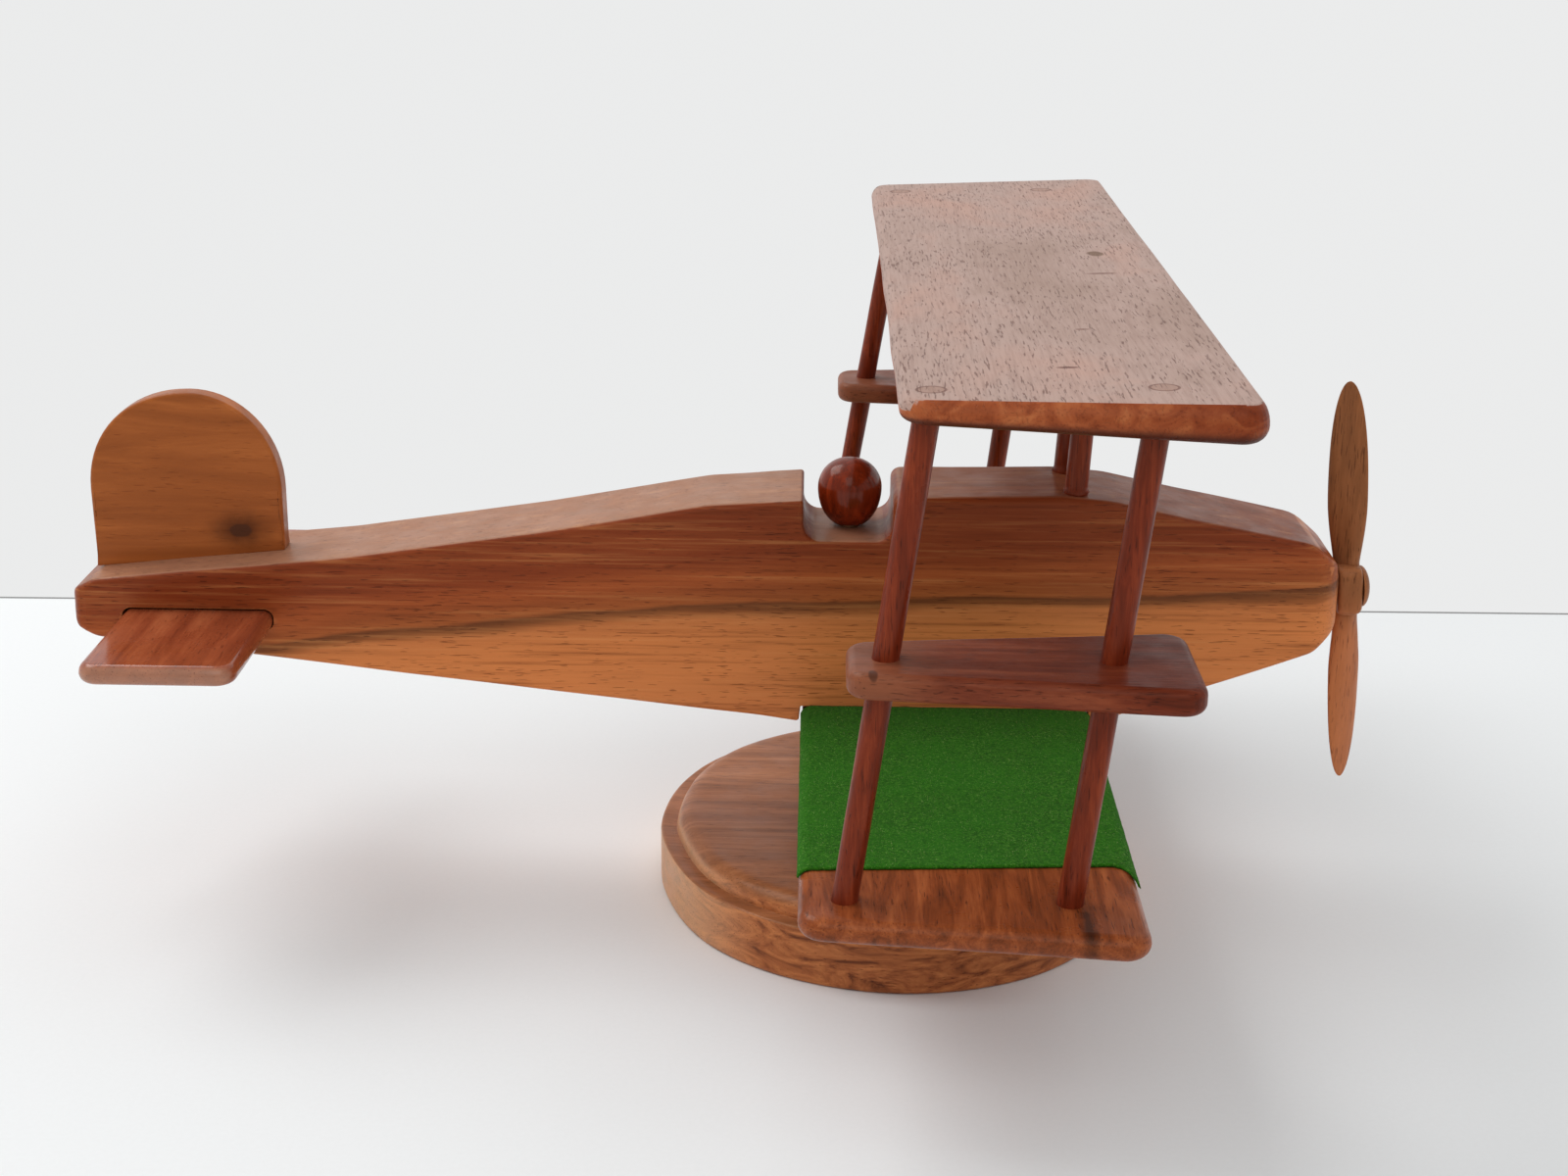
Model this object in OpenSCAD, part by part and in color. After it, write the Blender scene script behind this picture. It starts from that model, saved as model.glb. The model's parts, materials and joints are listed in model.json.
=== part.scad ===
// Wooden biplane model on a plinth.
// +X points to the nose, +Y to the left wing tip and +Z up.
// The origin is on the underside of the plinth, on the stand post's axis.

/* [Stand] */
// Mean radius of the hand-cut plinth
plinth_r = 89.4; // [80:0.2:100]
// How much longer the plinth is across the plane than along it, on each side
plinth_oval = 5.2; // [0:0.2:6]
// How far the plinth's middle lies behind the stand post
plinth_back = 5; // [0:0.5:8]
// Height of the plinth's upright side
plinth_side_h = 20; // [14:1:26]
// Width of the narrow ledge above the side
plinth_ledge = 6; // [3:0.5:9]
// Radius of the rounded shoulder above the ledge
plinth_round = 6.5; // [4:0.5:9]
// Diameter of the post between plinth and lower wing
post_d = 28; // [20:1:36]

/* [Wings] */
// Length of the lower wing from trailing to leading edge
lower_chord = 101.4; // [90:0.2:110]
// Length of the strut strips
strip_chord = 99.4; // [90:0.2:110]
// Length of the top wing from trailing to leading edge
top_chord = 98.2; // [90:0.2:110]
// Distance from the middle to a tip of the lower levels at the trailing edge
half_span_rear = 190; // [182:1:196]
// Distance from the middle to a tip of the lower levels at the leading edge
half_span_front = 201; // [197:1:208]
// The same for the top wing at its trailing edge
top_span_rear = 193.5; // [182:0.5:198]
// The same for the top wing at its leading edge
top_span_front = 204; // [197:0.5:208]
// How far the top wing sits off centre, towards the left
top_offset = 3.3; // [0:0.1:4]
// Thickness of the lower wing and of the strut strips
plank_t = 8; // [7:0.5:10]
// Thickness of the top wing at its trailing edge
top_t_rear = 7; // [6:0.1:9]
// Thickness of the top wing at its leading edge
top_t_front = 11.6; // [9:0.1:12]
// Height of the lower wing's underside
lower_z = 66; // [60:1:72]
// Height of the strips' underside
strip_z = 140.6; // [130:0.2:150]
// Height of the top wing's underside at its trailing edge
top_z = 218.7; // [210:0.1:230]
// How far the strips and the top wing stand forward of the level below
stagger = 12.7; // [8:0.1:14]
// Radius of the wings' corners seen from above
corner_r = 8; // [6:0.5:10]
// Thickness of the felt on the lower wing
felt_t = 1; // [0.6:0.1:1.4]

/* [Struts] */
// Diameter of the struts
strut_d = 8; // [7:0.5:9]
// Distance of the outer struts from the middle
strut_y = 176; // [172:1:178]
// Forward rake of the rear outer struts in degrees
rear_rake = 7.7; // [4:0.1:9]
// Forward rake of the front outer struts in degrees
front_rake = 6.7; // [4:0.1:9]
// Distance of the cabane struts from the middle
cabane_y = 14; // [11:0.5:15]
// Forward rake of the cabane struts in degrees
cabane_rake = 3; // [0:0.5:5]

/* [Fuselage] */
// Width of the fuselage block
body_w = 43; // [38:1:46]
// Radius of the nose's upright corners
nose_corner_r = 11; // [6:1:14]
// Radius in the lower corners of the cockpit notch
notch_r = 4.5; // [2:0.5:6]

/* [Tail] */
// Thickness of the tail fin
fin_t = 9; // [7:0.5:10]
// Distance from the middle to the tailplane's tip
tail_half_span = 80; // [70:1:90]
// Thickness of the tailplane
tail_t = 7; // [5:0.5:8]

/* [Propeller] */
// Radius swept by the blades
prop_r = 74; // [64:1:76]
// Widest chord of a blade
blade_chord = 15; // [12:0.5:19]
// Thickness of a blade
blade_t = 4; // [3:0.5:5]
// How far the propeller's axis points up from level, in degrees
prop_tilt = 3.3; // [0:0.1:5]
// Angle of a blade's chord to the propeller's own plane
blade_pitch = 53; // [40:1:60]

/* [Hidden] */

$fn = 96;
glue_gap = 0.05;
run_gap = 0.08;
eps = 0.01;
far = 400;
right = -1;
left = 1;

// Plinth and post
plinth_h = plinth_side_h + plinth_round;
shoulder_steps = 6;
outline_steps = 90;
tenon_r = 6;
tenon_depth = 14;

// Wings
lower_x = -38.2;
lower_top_z = lower_z + plank_t;
strip_x = lower_x + stagger;
strip_top_z = strip_z + plank_t;
top_x = strip_x + stagger;
top_dip = 2.3;
top_tilt = (top_t_front - top_t_rear - top_dip) / top_chord;
strip_inner_rear = 161;
strip_inner_front = 149;
puck_fn = 40;
edge_fn = 20;

// Struts
strut_r = strut_d / 2;
foot_rear_x = -24.3;
foot_front_right_x = 41;
foot_front_left_x = 38.6;
strut_socket = 6;
cabane_right_x = 55.4;
cabane_left_x = 54.2;
cabane_sink = 12;
cabane_socket = 5;

// Fuselage outline in the XZ plane
half_w = body_w / 2;
tail_x = -294;
nose_x = 149;
tail_r = 6;
tail_top = [-286, 117.2];
spine = [[-200, 126], [-130, 136.3], [-72, 146.8], [-39, 149.4]];
deck = [[-3, 150.6], [50, 152.2], [66, 150.8], [92, 145.4], [136, 135.8]];
nose_top = [142, 133];
nose_front = [[148, 125], [nose_x, 119], [nose_x, 107]];
nose_chin = [[146, 101.5], [139, 96.8]];
belly_front = [63.5, 68.9];
belly_rear = [-39.2, 68.9];
tail_bottom = [-286, 96.6];
notch_rear = -38.5;
notch_front = -7.5;
notch_floor = 135;
dowel_rear_x = -24;
dowel_front_x = 48;
dowel_reach = 18;

// Tail
slot_gap = 0.15;
tail_rear_x = -276;
tail_chord = 52.5;
tail_z = 103.5;
tail_corner_r = 7;
fin_rear_x = -289;
fin_front_x = -221;
fin_top_z = 180.4;
fin_crown_x = -253;
fin_shoulder_z = 145;
fin_steps = 14;
fin_dowel_r = 2.5;
fin_dowel_xs = [-272, -237];
fin_dowel_up = 14;
fin_dowel_down = 8;

// Pilot
pilot_x = -22.3;
pilot_r = 11.35;
pilot_wide_z = 148.8;
pilot_up = 10.6;
pilot_down = 15;
pilot_peg_r = 3;
pilot_peg_up = 10;
pilot_peg_down = 9;

// Propeller
prop_z = 114.4;
hub_x = 150.2;
hub_t = 8.8;
nose_gap = 0.8;
nose_gap_r = 22;
hub_r = 9.8;
hub_half_w = 8.6;
blade_mid_x = 154;
blade_root = 4;
widest_at = 36;
neck_at = 12;
neck_loss = 0.39;
blade_steps = 28;
peg_r = 3;
peg_back = 128;
peg_head_r = 7.5;
peg_head_t = 3;
peg_head_gap = 0.4;

// Height of the straight line through p and q at x
function on_line(p, q, x) = p[1] + (q[1] - p[1]) * (x - p[0]) / (q[0] - p[0]);
// Top of the tail, where the fin stands
function tail_deck(x) = on_line(tail_top, spine[0], x);
// Top surface of the top wing
function wing_deck(x) = top_z + top_t_rear + top_tilt * (x - top_x);
// Where a front strut and a cabane strut stand on either side
function foot_front(side) = side > 0 ? foot_front_left_x : foot_front_right_x;
function cabane_at(side) = side > 0 ? cabane_left_x : cabane_right_x;
// Radius of the plinth's outline at an angle
function plinth_at(a, inset) = plinth_r - inset - plinth_oval * cos(2 * a);
// Half of a blade's chord at a radius
function blade_half(r) = blade_chord / 2 * (r < widest_at
    ? 1 - neck_loss * pow((widest_at - r) / (widest_at - neck_at), 2)
    : pow(max(0, 1 - pow((r - widest_at) / (prop_r - widest_at), 2.3)), 0.45));

// ---- Shapes that repeat ----

// Flat round disc with a fully rounded rim
module puck(r, t) {
    rotate_extrude($fn = puck_fn) {
        intersection() {
            translate([r - t / 2, 0])
                circle(t / 2, $fn = edge_fn);
            translate([0, -t / 2])
                square([r, t]);
        }
        translate([0, -t / 2])
            square([r - t / 2, t]);
    }
}

// Plank with rounded edges: ends = [[x, inner y, outer y, middle z, thickness], ...]
module plank(rear, front, r) {
    hull()
        for (e = [rear, front])
            for (y = [e[1], e[2]])
                translate([e[0], y, e[3]])
                    puck(r, e[4]);
}

// Endless rod through a point, leaning forward
module raked_rod(point, rake, r) {
    translate(point)
        rotate([0, rake, 0])
            translate([0, 0, -far / 2])
                cylinder(h = far, r = r);
}

module rear_rod(side, r) {
    raked_rod([foot_rear_x, side * strut_y, lower_top_z], rear_rake, r);
}

module front_rod(side, r) {
    raked_rod([foot_front(side), side * strut_y, lower_top_z], front_rake, r);
}

module cabane_rod(side, r) {
    raked_rod([cabane_at(side), side * cabane_y, cabane_deck_z], cabane_rake, r);
}

// Slab of space between two heights
module between(z0, z1) {
    translate([-far / 2, -far, z0])
        cube([far, 2 * far, z1 - z0]);
}

module strut_holes(sides) {
    for (side = sides) {
        rear_rod(side, strut_r + glue_gap);
        front_rod(side, strut_r + glue_gap);
    }
}

// An outer strut's length of rod, from the lower wing's socket to the top wing's upper face
module outer_strut(foot_x, rake) {
    head_x = foot_x + (wing_deck(foot_x) - lower_top_z) * tan(rake);
    color("saddlebrown")
        intersection() {
            children();
            between(lower_top_z - strut_socket, wing_deck(head_x));
        }
}

module upright(x, y, z0, z1, r) {
    translate([x, y, z0])
        cylinder(h = z1 - z0, r = r);
}

// ---- Stand ----

module plinth_outline(inset) {
    polygon([for (i = [0:outline_steps - 1])
        let (a = i * 360 / outline_steps)
        plinth_at(a, inset) * [cos(a), sin(a)] - [plinth_back, 0]]);
}

module base() {
    color("peru")
        difference() {
            union() {
                linear_extrude(plinth_side_h)
                    plinth_outline(0);
                hull()
                    for (i = [0:shoulder_steps])
                        let (a = i * 90 / shoulder_steps)
                        translate([0, 0, plinth_side_h - eps])
                            linear_extrude(plinth_round * sin(a) + eps)
                                plinth_outline(plinth_ledge + plinth_round * (1 - cos(a)));
            }
            upright(0, 0, plinth_h - tenon_depth, plinth_h + 1, tenon_r + glue_gap);
        }
}

module stand_post() {
    color("sienna")
        union() {
            upright(0, 0, plinth_h, lower_z, post_d / 2);
            upright(0, 0, plinth_h - tenon_depth, lower_top_z + tenon_depth, tenon_r);
        }
}

// ---- Wings ----

module lower_wing() {
    mid_z = lower_z + plank_t / 2;
    rear_x = lower_x + corner_r;
    front_x = lower_x + lower_chord - corner_r;
    color("sienna")
        difference() {
            plank([rear_x, -half_span_rear + corner_r, half_span_rear - corner_r, mid_z, plank_t],
                [front_x, -half_span_front + corner_r, half_span_front - corner_r, mid_z, plank_t],
                corner_r);
            intersection() {
                strut_holes([right, left]);
                between(lower_top_z - strut_socket - 1, far);
            }
            upright(0, 0, 0, far, tenon_r + glue_gap);
            for (x = [dowel_rear_x, dowel_front_x])
                upright(x, 0, lower_top_z - strut_socket, far, strut_r + glue_gap);
        }
}

// Section of the felt, bent down over both rounded edges
module felt_section(r) {
    rear_x = lower_x + plank_t / 2;
    front_x = lower_x + lower_chord - plank_t / 2;
    for (x = [rear_x, front_x])
        translate([x, 0])
            circle(r);
    translate([rear_x, -r])
        square([front_x - rear_x, 2 * r]);
}

felt_inner_y = half_w + 0.2;
felt_outer_y = 157;
felt_skirt_z = 2;

module felt(side) {
    mid_z = lower_z + plank_t / 2;
    color("green")
        translate([0, side > 0 ? felt_outer_y : -felt_inner_y, mid_z])
            rotate([90, 0, 0])
                linear_extrude(felt_outer_y - felt_inner_y)
                    intersection() {
                        difference() {
                            felt_section(plank_t / 2 + felt_t);
                            felt_section(plank_t / 2 + glue_gap);
                        }
                        translate([-far / 2, felt_skirt_z])
                            square([far, far]);
                    }
}

module felt_right() {
    felt(right);
}

module felt_left() {
    felt(left);
}

module strut_strip(side) {
    mid_z = strip_z + plank_t / 2;
    rear_x = strip_x + corner_r;
    front_x = strip_x + strip_chord - corner_r;
    color("rosybrown")
        difference() {
            plank([rear_x, side * (strip_inner_rear + corner_r),
                    side * (half_span_rear - corner_r), mid_z, plank_t],
                [front_x, side * (strip_inner_front + corner_r),
                    side * (half_span_front - corner_r), mid_z, plank_t],
                corner_r);
            strut_holes([side]);
        }
}

module strut_strip_right() {
    strut_strip(right);
}

module strut_strip_left() {
    strut_strip(left);
}

module top_wing() {
    rear_x = top_x + corner_r;
    front_x = top_x + top_chord - corner_r;
    rear_z = top_z + top_t_rear / 2;
    front_z = top_z - top_dip + top_t_front / 2;
    color("tan")
        difference() {
            translate([0, top_offset, 0])
                plank([rear_x, -top_span_rear + corner_r, top_span_rear - corner_r, rear_z, top_t_rear],
                    [front_x, -top_span_front + corner_r, top_span_front - corner_r, front_z, top_t_front],
                    corner_r);
            strut_holes([right, left]);
            intersection() {
                cabane_holes();
                between(0, top_z + cabane_socket + 0.3);
            }
        }
}

// ---- Struts ----

module cabane_holes() {
    for (side = [right, left])
        cabane_rod(side, strut_r + glue_gap);
}

module strut_rear_right() {
    outer_strut(foot_rear_x, rear_rake)
        rear_rod(right, strut_r);
}

module strut_rear_left() {
    outer_strut(foot_rear_x, rear_rake)
        rear_rod(left, strut_r);
}

module strut_front_right() {
    outer_strut(foot_front_right_x, front_rake)
        front_rod(right, strut_r);
}

module strut_front_left() {
    outer_strut(foot_front_left_x, front_rake)
        front_rod(left, strut_r);
}

cabane_deck_z = on_line(deck[1], deck[2], cabane_right_x);
cabane_foot_z = cabane_deck_z - cabane_sink;

module cabane(side) {
    color("saddlebrown")
        intersection() {
            cabane_rod(side, strut_r);
            between(cabane_foot_z, top_z + cabane_socket);
        }
}

module cabane_strut_right() {
    cabane(right);
}

module cabane_strut_left() {
    cabane(left);
}

// ---- Fuselage ----

module side_view() {
    polygon(concat([[tail_x, tail_bottom[1] + tail_r], [tail_x, tail_top[1] - tail_r], tail_top],
        spine, deck, [nose_top], nose_front, nose_chin, [belly_front, belly_rear, tail_bottom]));
}

// Round-cornered notch for the pilot, open at the top
module notch_view() {
    for (x = [notch_rear + notch_r, notch_front - notch_r])
        translate([x, notch_floor + notch_r])
            circle(notch_r);
    translate([notch_rear + notch_r, notch_floor])
        square([notch_front - notch_rear - 2 * notch_r, 2 * notch_r]);
    translate([notch_rear, notch_floor + notch_r])
        square([notch_front - notch_rear, far]);
}

// Slot for the tailplane, with round ends
module slot_view(r) {
    for (x = [tail_rear_x + tail_t / 2, tail_rear_x + tail_chord - tail_t / 2])
        translate([x, tail_z])
            circle(r);
    translate([tail_rear_x + tail_t / 2, tail_z - r])
        square([tail_chord - tail_t, 2 * r]);
}

// Footprint of the fuselage, with round upright corners at the nose
module plan_view() {
    for (side = [right, left])
        translate([nose_x - nose_corner_r, side * (half_w - nose_corner_r)])
            circle(nose_corner_r);
    translate([nose_x - nose_corner_r, -half_w + nose_corner_r])
        square([nose_corner_r, body_w - 2 * nose_corner_r]);
    translate([tail_x, -half_w])
        square([nose_x - nose_corner_r - tail_x, body_w]);
}

module across(w) {
    rotate([90, 0, 0])
        translate([0, 0, -w / 2])
            linear_extrude(w)
                children();
}

module fuselage() {
    color("chocolate")
        difference() {
            intersection() {
                across(body_w)
                    side_view();
                linear_extrude(far)
                    plan_view();
            }
            across(far)
                notch_view();
            across(far)
                slot_view(tail_t / 2 + slot_gap);
            translate([lower_x - 0.5, -far / 2, 0])
                cube([lower_chord + 1, far, lower_top_z]);
            upright(0, 0, 0, lower_top_z + tenon_depth + 1, tenon_r + glue_gap);
            for (x = [dowel_rear_x, dowel_front_x])
                upright(x, 0, 0, lower_top_z + dowel_reach + 1, strut_r + glue_gap);
            intersection() {
                cabane_holes();
                between(cabane_foot_z - 0.3, far);
            }
            upright(pilot_x, 0, notch_floor - pilot_peg_down - 1, far, pilot_peg_r + glue_gap);
            for (x = fin_dowel_xs)
                upright(x, 0, tail_deck(x) - fin_dowel_down, far, fin_dowel_r + glue_gap);
            prop_axis()
                rotate([0, 90, 0])
                    translate([0, 0, peg_back])
                        cylinder(h = far, r = peg_r + glue_gap);
        }
}

module wing_dowel(x) {
    color("burlywood")
        upright(x, 0, lower_top_z - strut_socket, lower_top_z + dowel_reach, strut_r);
}

module wing_dowel_rear() {
    wing_dowel(dowel_rear_x);
}

module wing_dowel_front() {
    wing_dowel(dowel_front_x);
}

// ---- Pilot ----

module pilot_head() {
    low = notch_floor - pilot_wide_z + 0.2;
    a_low = asin(low / pilot_down);
    profile = concat([[0, low]],
        [for (a = [a_low:-a_low / 14:-0.5]) [pilot_r * cos(a), pilot_down * sin(a)]],
        [for (a = [0:6:84]) [pilot_r * cos(a), pilot_up * sin(a)]],
        [[0, pilot_up]]);
    color("brown")
        difference() {
            translate([pilot_x, 0, pilot_wide_z])
                rotate_extrude()
                    polygon(profile);
            upright(pilot_x, 0, 0, notch_floor + pilot_peg_up + 0.5, pilot_peg_r + glue_gap);
        }
}

module pilot_peg() {
    color("burlywood")
        upright(pilot_x, 0, notch_floor - pilot_peg_down, notch_floor + pilot_peg_up, pilot_peg_r);
}

// ---- Tail ----

// Quarter of the fin's round top, from a to b degrees
function fin_arc(middle_x, half_l, a, b) = [for (i = [0:fin_steps])
    let (t = a + (b - a) * i / fin_steps)
    [middle_x + half_l * cos(t), fin_shoulder_z + (fin_top_z - fin_shoulder_z) * sin(t)]];

module fin_view() {
    polygon(concat([[fin_rear_x, tail_deck(fin_rear_x)], [fin_front_x, tail_deck(fin_front_x)]],
        fin_arc(fin_crown_x, fin_front_x - fin_crown_x, 0, 90),
        fin_arc(fin_crown_x, fin_crown_x - fin_rear_x, 90, 180)));
}

module tail_fin() {
    color("peru")
        difference() {
            across(fin_t)
                fin_view();
            for (x = fin_dowel_xs)
                upright(x, 0, 0, tail_deck(x) + fin_dowel_up + 0.5, fin_dowel_r + glue_gap);
        }
}

module fin_dowel(x) {
    color("burlywood")
        upright(x, 0, tail_deck(x) - fin_dowel_down + 0.3, tail_deck(x) + fin_dowel_up, fin_dowel_r);
}

module fin_dowel_rear() {
    fin_dowel(fin_dowel_xs[0]);
}

module fin_dowel_front() {
    fin_dowel(fin_dowel_xs[1]);
}

module tailplane() {
    rear_x = tail_rear_x + tail_corner_r;
    front_x = tail_rear_x + tail_chord - tail_corner_r;
    tip_y = tail_half_span - tail_corner_r;
    color("firebrick")
        plank([rear_x, -tip_y, tip_y, tail_z, tail_t], [front_x, -tip_y, tip_y, tail_z, tail_t],
            tail_corner_r);
}

// ---- Propeller ----

// X along the propeller's axis; the axis meets the hub's back face at x = hub_x
module prop_axis() {
    translate([hub_x, 0, prop_z])
        rotate([0, -prop_tilt, 0])
            translate([-hub_x, 0, 0])
                children();
}

module blade() {
    step = (prop_r - blade_root) / blade_steps;
    rs = [for (i = [0:blade_steps]) blade_root + i * step];
    rotate([0, 0, blade_pitch - 90])
        rotate([90, 0, 0])
            translate([0, 0, -blade_t / 2])
                linear_extrude(blade_t)
                    polygon(concat([for (r = rs) [blade_half(r), r]],
                        [for (i = [blade_steps - 1:-1:0]) [-blade_half(rs[i]), rs[i]]]));
}

module propeller() {
    color("sienna")
        prop_axis()
            difference() {
                union() {
                    translate([hub_x, 0, 0])
                        rotate([0, 90, 0])
                            intersection() {
                                cylinder(h = hub_t, r = hub_r);
                                translate([-hub_r, -hub_half_w, 0])
                                    cube([2 * hub_r, 2 * hub_half_w, hub_t]);
                            }
                    for (turn = [0, 180])
                        rotate([turn, 0, 0])
                            translate([blade_mid_x, 0, 0])
                                blade();
                }
                rotate([0, 90, 0]) {
                    cylinder(h = far, r = peg_r + run_gap);
                    cylinder(h = hub_x - nose_gap, r = nose_gap_r);
                }
            }
}

module propeller_peg() {
    head_x = hub_x + hub_t + peg_head_gap;
    sphere_r = (peg_head_r * peg_head_r + peg_head_t * peg_head_t) / (2 * peg_head_t);
    color("tan")
        prop_axis()
            rotate([0, 90, 0]) {
                translate([0, 0, peg_back + 0.5])
                    cylinder(h = head_x - peg_back, r = peg_r);
                intersection() {
                    translate([0, 0, head_x + peg_head_t - sphere_r])
                        sphere(sphere_r);
                    translate([0, 0, head_x])
                        cylinder(h = peg_head_t, r = peg_head_r);
                }
            }
}

base();
stand_post();
lower_wing();
felt_right();
felt_left();
strut_strip_right();
strut_strip_left();
top_wing();
strut_rear_right();
strut_rear_left();
strut_front_right();
strut_front_left();
cabane_strut_right();
cabane_strut_left();
fuselage();
wing_dowel_rear();
wing_dowel_front();
pilot_head();
pilot_peg();
tail_fin();
fin_dowel_rear();
fin_dowel_front();
tailplane();
propeller();
propeller_peg();
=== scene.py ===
import bisect
import json
import math

import bpy
from mathutils import Matrix, Vector, noise


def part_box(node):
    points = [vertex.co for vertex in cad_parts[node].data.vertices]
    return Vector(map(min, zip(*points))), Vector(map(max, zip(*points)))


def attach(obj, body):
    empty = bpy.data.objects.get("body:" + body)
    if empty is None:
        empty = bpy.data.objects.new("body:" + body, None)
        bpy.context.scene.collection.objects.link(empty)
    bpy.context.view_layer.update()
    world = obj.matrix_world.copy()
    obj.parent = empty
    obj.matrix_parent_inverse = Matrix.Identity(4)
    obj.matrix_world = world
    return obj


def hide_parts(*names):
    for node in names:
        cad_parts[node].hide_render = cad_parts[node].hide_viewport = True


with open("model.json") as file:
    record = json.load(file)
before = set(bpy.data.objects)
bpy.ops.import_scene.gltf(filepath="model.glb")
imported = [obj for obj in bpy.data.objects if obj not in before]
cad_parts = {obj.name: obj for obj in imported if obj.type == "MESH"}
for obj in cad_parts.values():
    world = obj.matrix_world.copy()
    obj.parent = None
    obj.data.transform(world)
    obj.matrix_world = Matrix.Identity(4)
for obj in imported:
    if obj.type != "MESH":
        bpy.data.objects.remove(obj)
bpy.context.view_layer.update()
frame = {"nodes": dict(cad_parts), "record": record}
scene = bpy.context.scene
scene.view_settings.view_transform = "Standard"


# ---- The frame's sizes, in millimetres ----

def box(node):
    low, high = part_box(node)
    return [1000 * v for v in low], [1000 * v for v in high]


LOWER, LOWER_HIGH = box("lower_wing")
TOP, TOP_HIGH = box("top_wing")
STRIP, STRIP_HIGH = box("strut_strip_right")
BODY, BODY_HIGH = box("fuselage")
BASE, BASE_HIGH = box("base")
HEAD, HEAD_HIGH = box("pilot_head")
FIN, FIN_HIGH = box("tail_fin")
PLANE, PLANE_HIGH = box("tailplane")
PROP, PROP_HIGH = box("propeller")
LEFT, RIGHT = 1, -1
SIDES = (("right", RIGHT), ("left", LEFT))


# ---- Camera, lights and sky ----

EYE = (-0.0352, -0.7963, 0.3728)
YAW, PITCH, ROLL = -0.0124, math.radians(18.2), 0.0106


def look(yaw, pitch, roll):
    """Camera turned from the +Y direction, tipped down by pitch and rolled. Angles in radians."""
    level = math.cos(pitch)
    ahead = Vector((math.sin(yaw) * level, math.cos(yaw) * level, -math.sin(pitch)))
    across = Vector((math.cos(yaw), -math.sin(yaw), 0))
    up = across.cross(ahead)
    right = across * math.cos(roll) + up * math.sin(roll)
    top = up * math.cos(roll) - across * math.sin(roll)
    return Matrix((right, top, -ahead)).transposed().to_4x4()


camera = bpy.data.objects.new("camera", bpy.data.cameras.new("camera"))
camera.data.lens = 54
camera.data.sensor_width = 36
camera.data.clip_start = 0.01
camera.matrix_world = Matrix.Translation(EYE) @ look(YAW, PITCH, ROLL)
scene.collection.objects.link(camera)
scene.camera = camera


def softbox(name, place, target, size, power):
    light = bpy.data.lights.new(name, "AREA")
    light.shape = "RECTANGLE"
    light.size, light.size_y = size
    light.energy = power
    lamp = bpy.data.objects.new(name, light)
    lamp.location = place
    lamp.rotation_euler = (Vector(target) - Vector(place)).to_track_quat("-Z", "Y").to_euler()
    scene.collection.objects.link(lamp)


softbox("window_light", (-1.4, 0.62, 1.95), (0, 0, 0.1), (1.6, 1.2), 24)
softbox("room_light", (0.2, -1.8, 1.6), (0, 0, 0.1), (2.0, 1.4), 11)

# The sky behind the camera is dimmer than the sky behind the object
world = bpy.data.worlds.new("studio")
world.use_nodes = True
sky = world.node_tree.nodes["Background"]
sky.inputs["Color"].default_value = (0.83, 0.835, 0.835, 1)
way = world.node_tree.nodes.new("ShaderNodeTexCoord")
split = world.node_tree.nodes.new("ShaderNodeSeparateXYZ")
fade = world.node_tree.nodes.new("ShaderNodeMapRange")
world.node_tree.links.new(way.outputs["Generated"], split.inputs[0])
world.node_tree.links.new(split.outputs["Y"], fade.inputs["Value"])
world.node_tree.links.new(fade.outputs[0], sky.inputs["Strength"])
for key, number in (("From Min", -0.5), ("From Max", 0.4), ("To Min", 0.6), ("To Max", 1.0)):
    fade.inputs[key].default_value = number
scene.world = world


# ---- Material nodes ----

def rgb(red, green, blue):
    """sRGB 0-255 to linear."""
    def one(c):
        c /= 255
        return c / 12.92 if c <= 0.04045 else ((c + 0.055) / 1.055) ** 2.4
    return one(red), one(green), one(blue), 1


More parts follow.
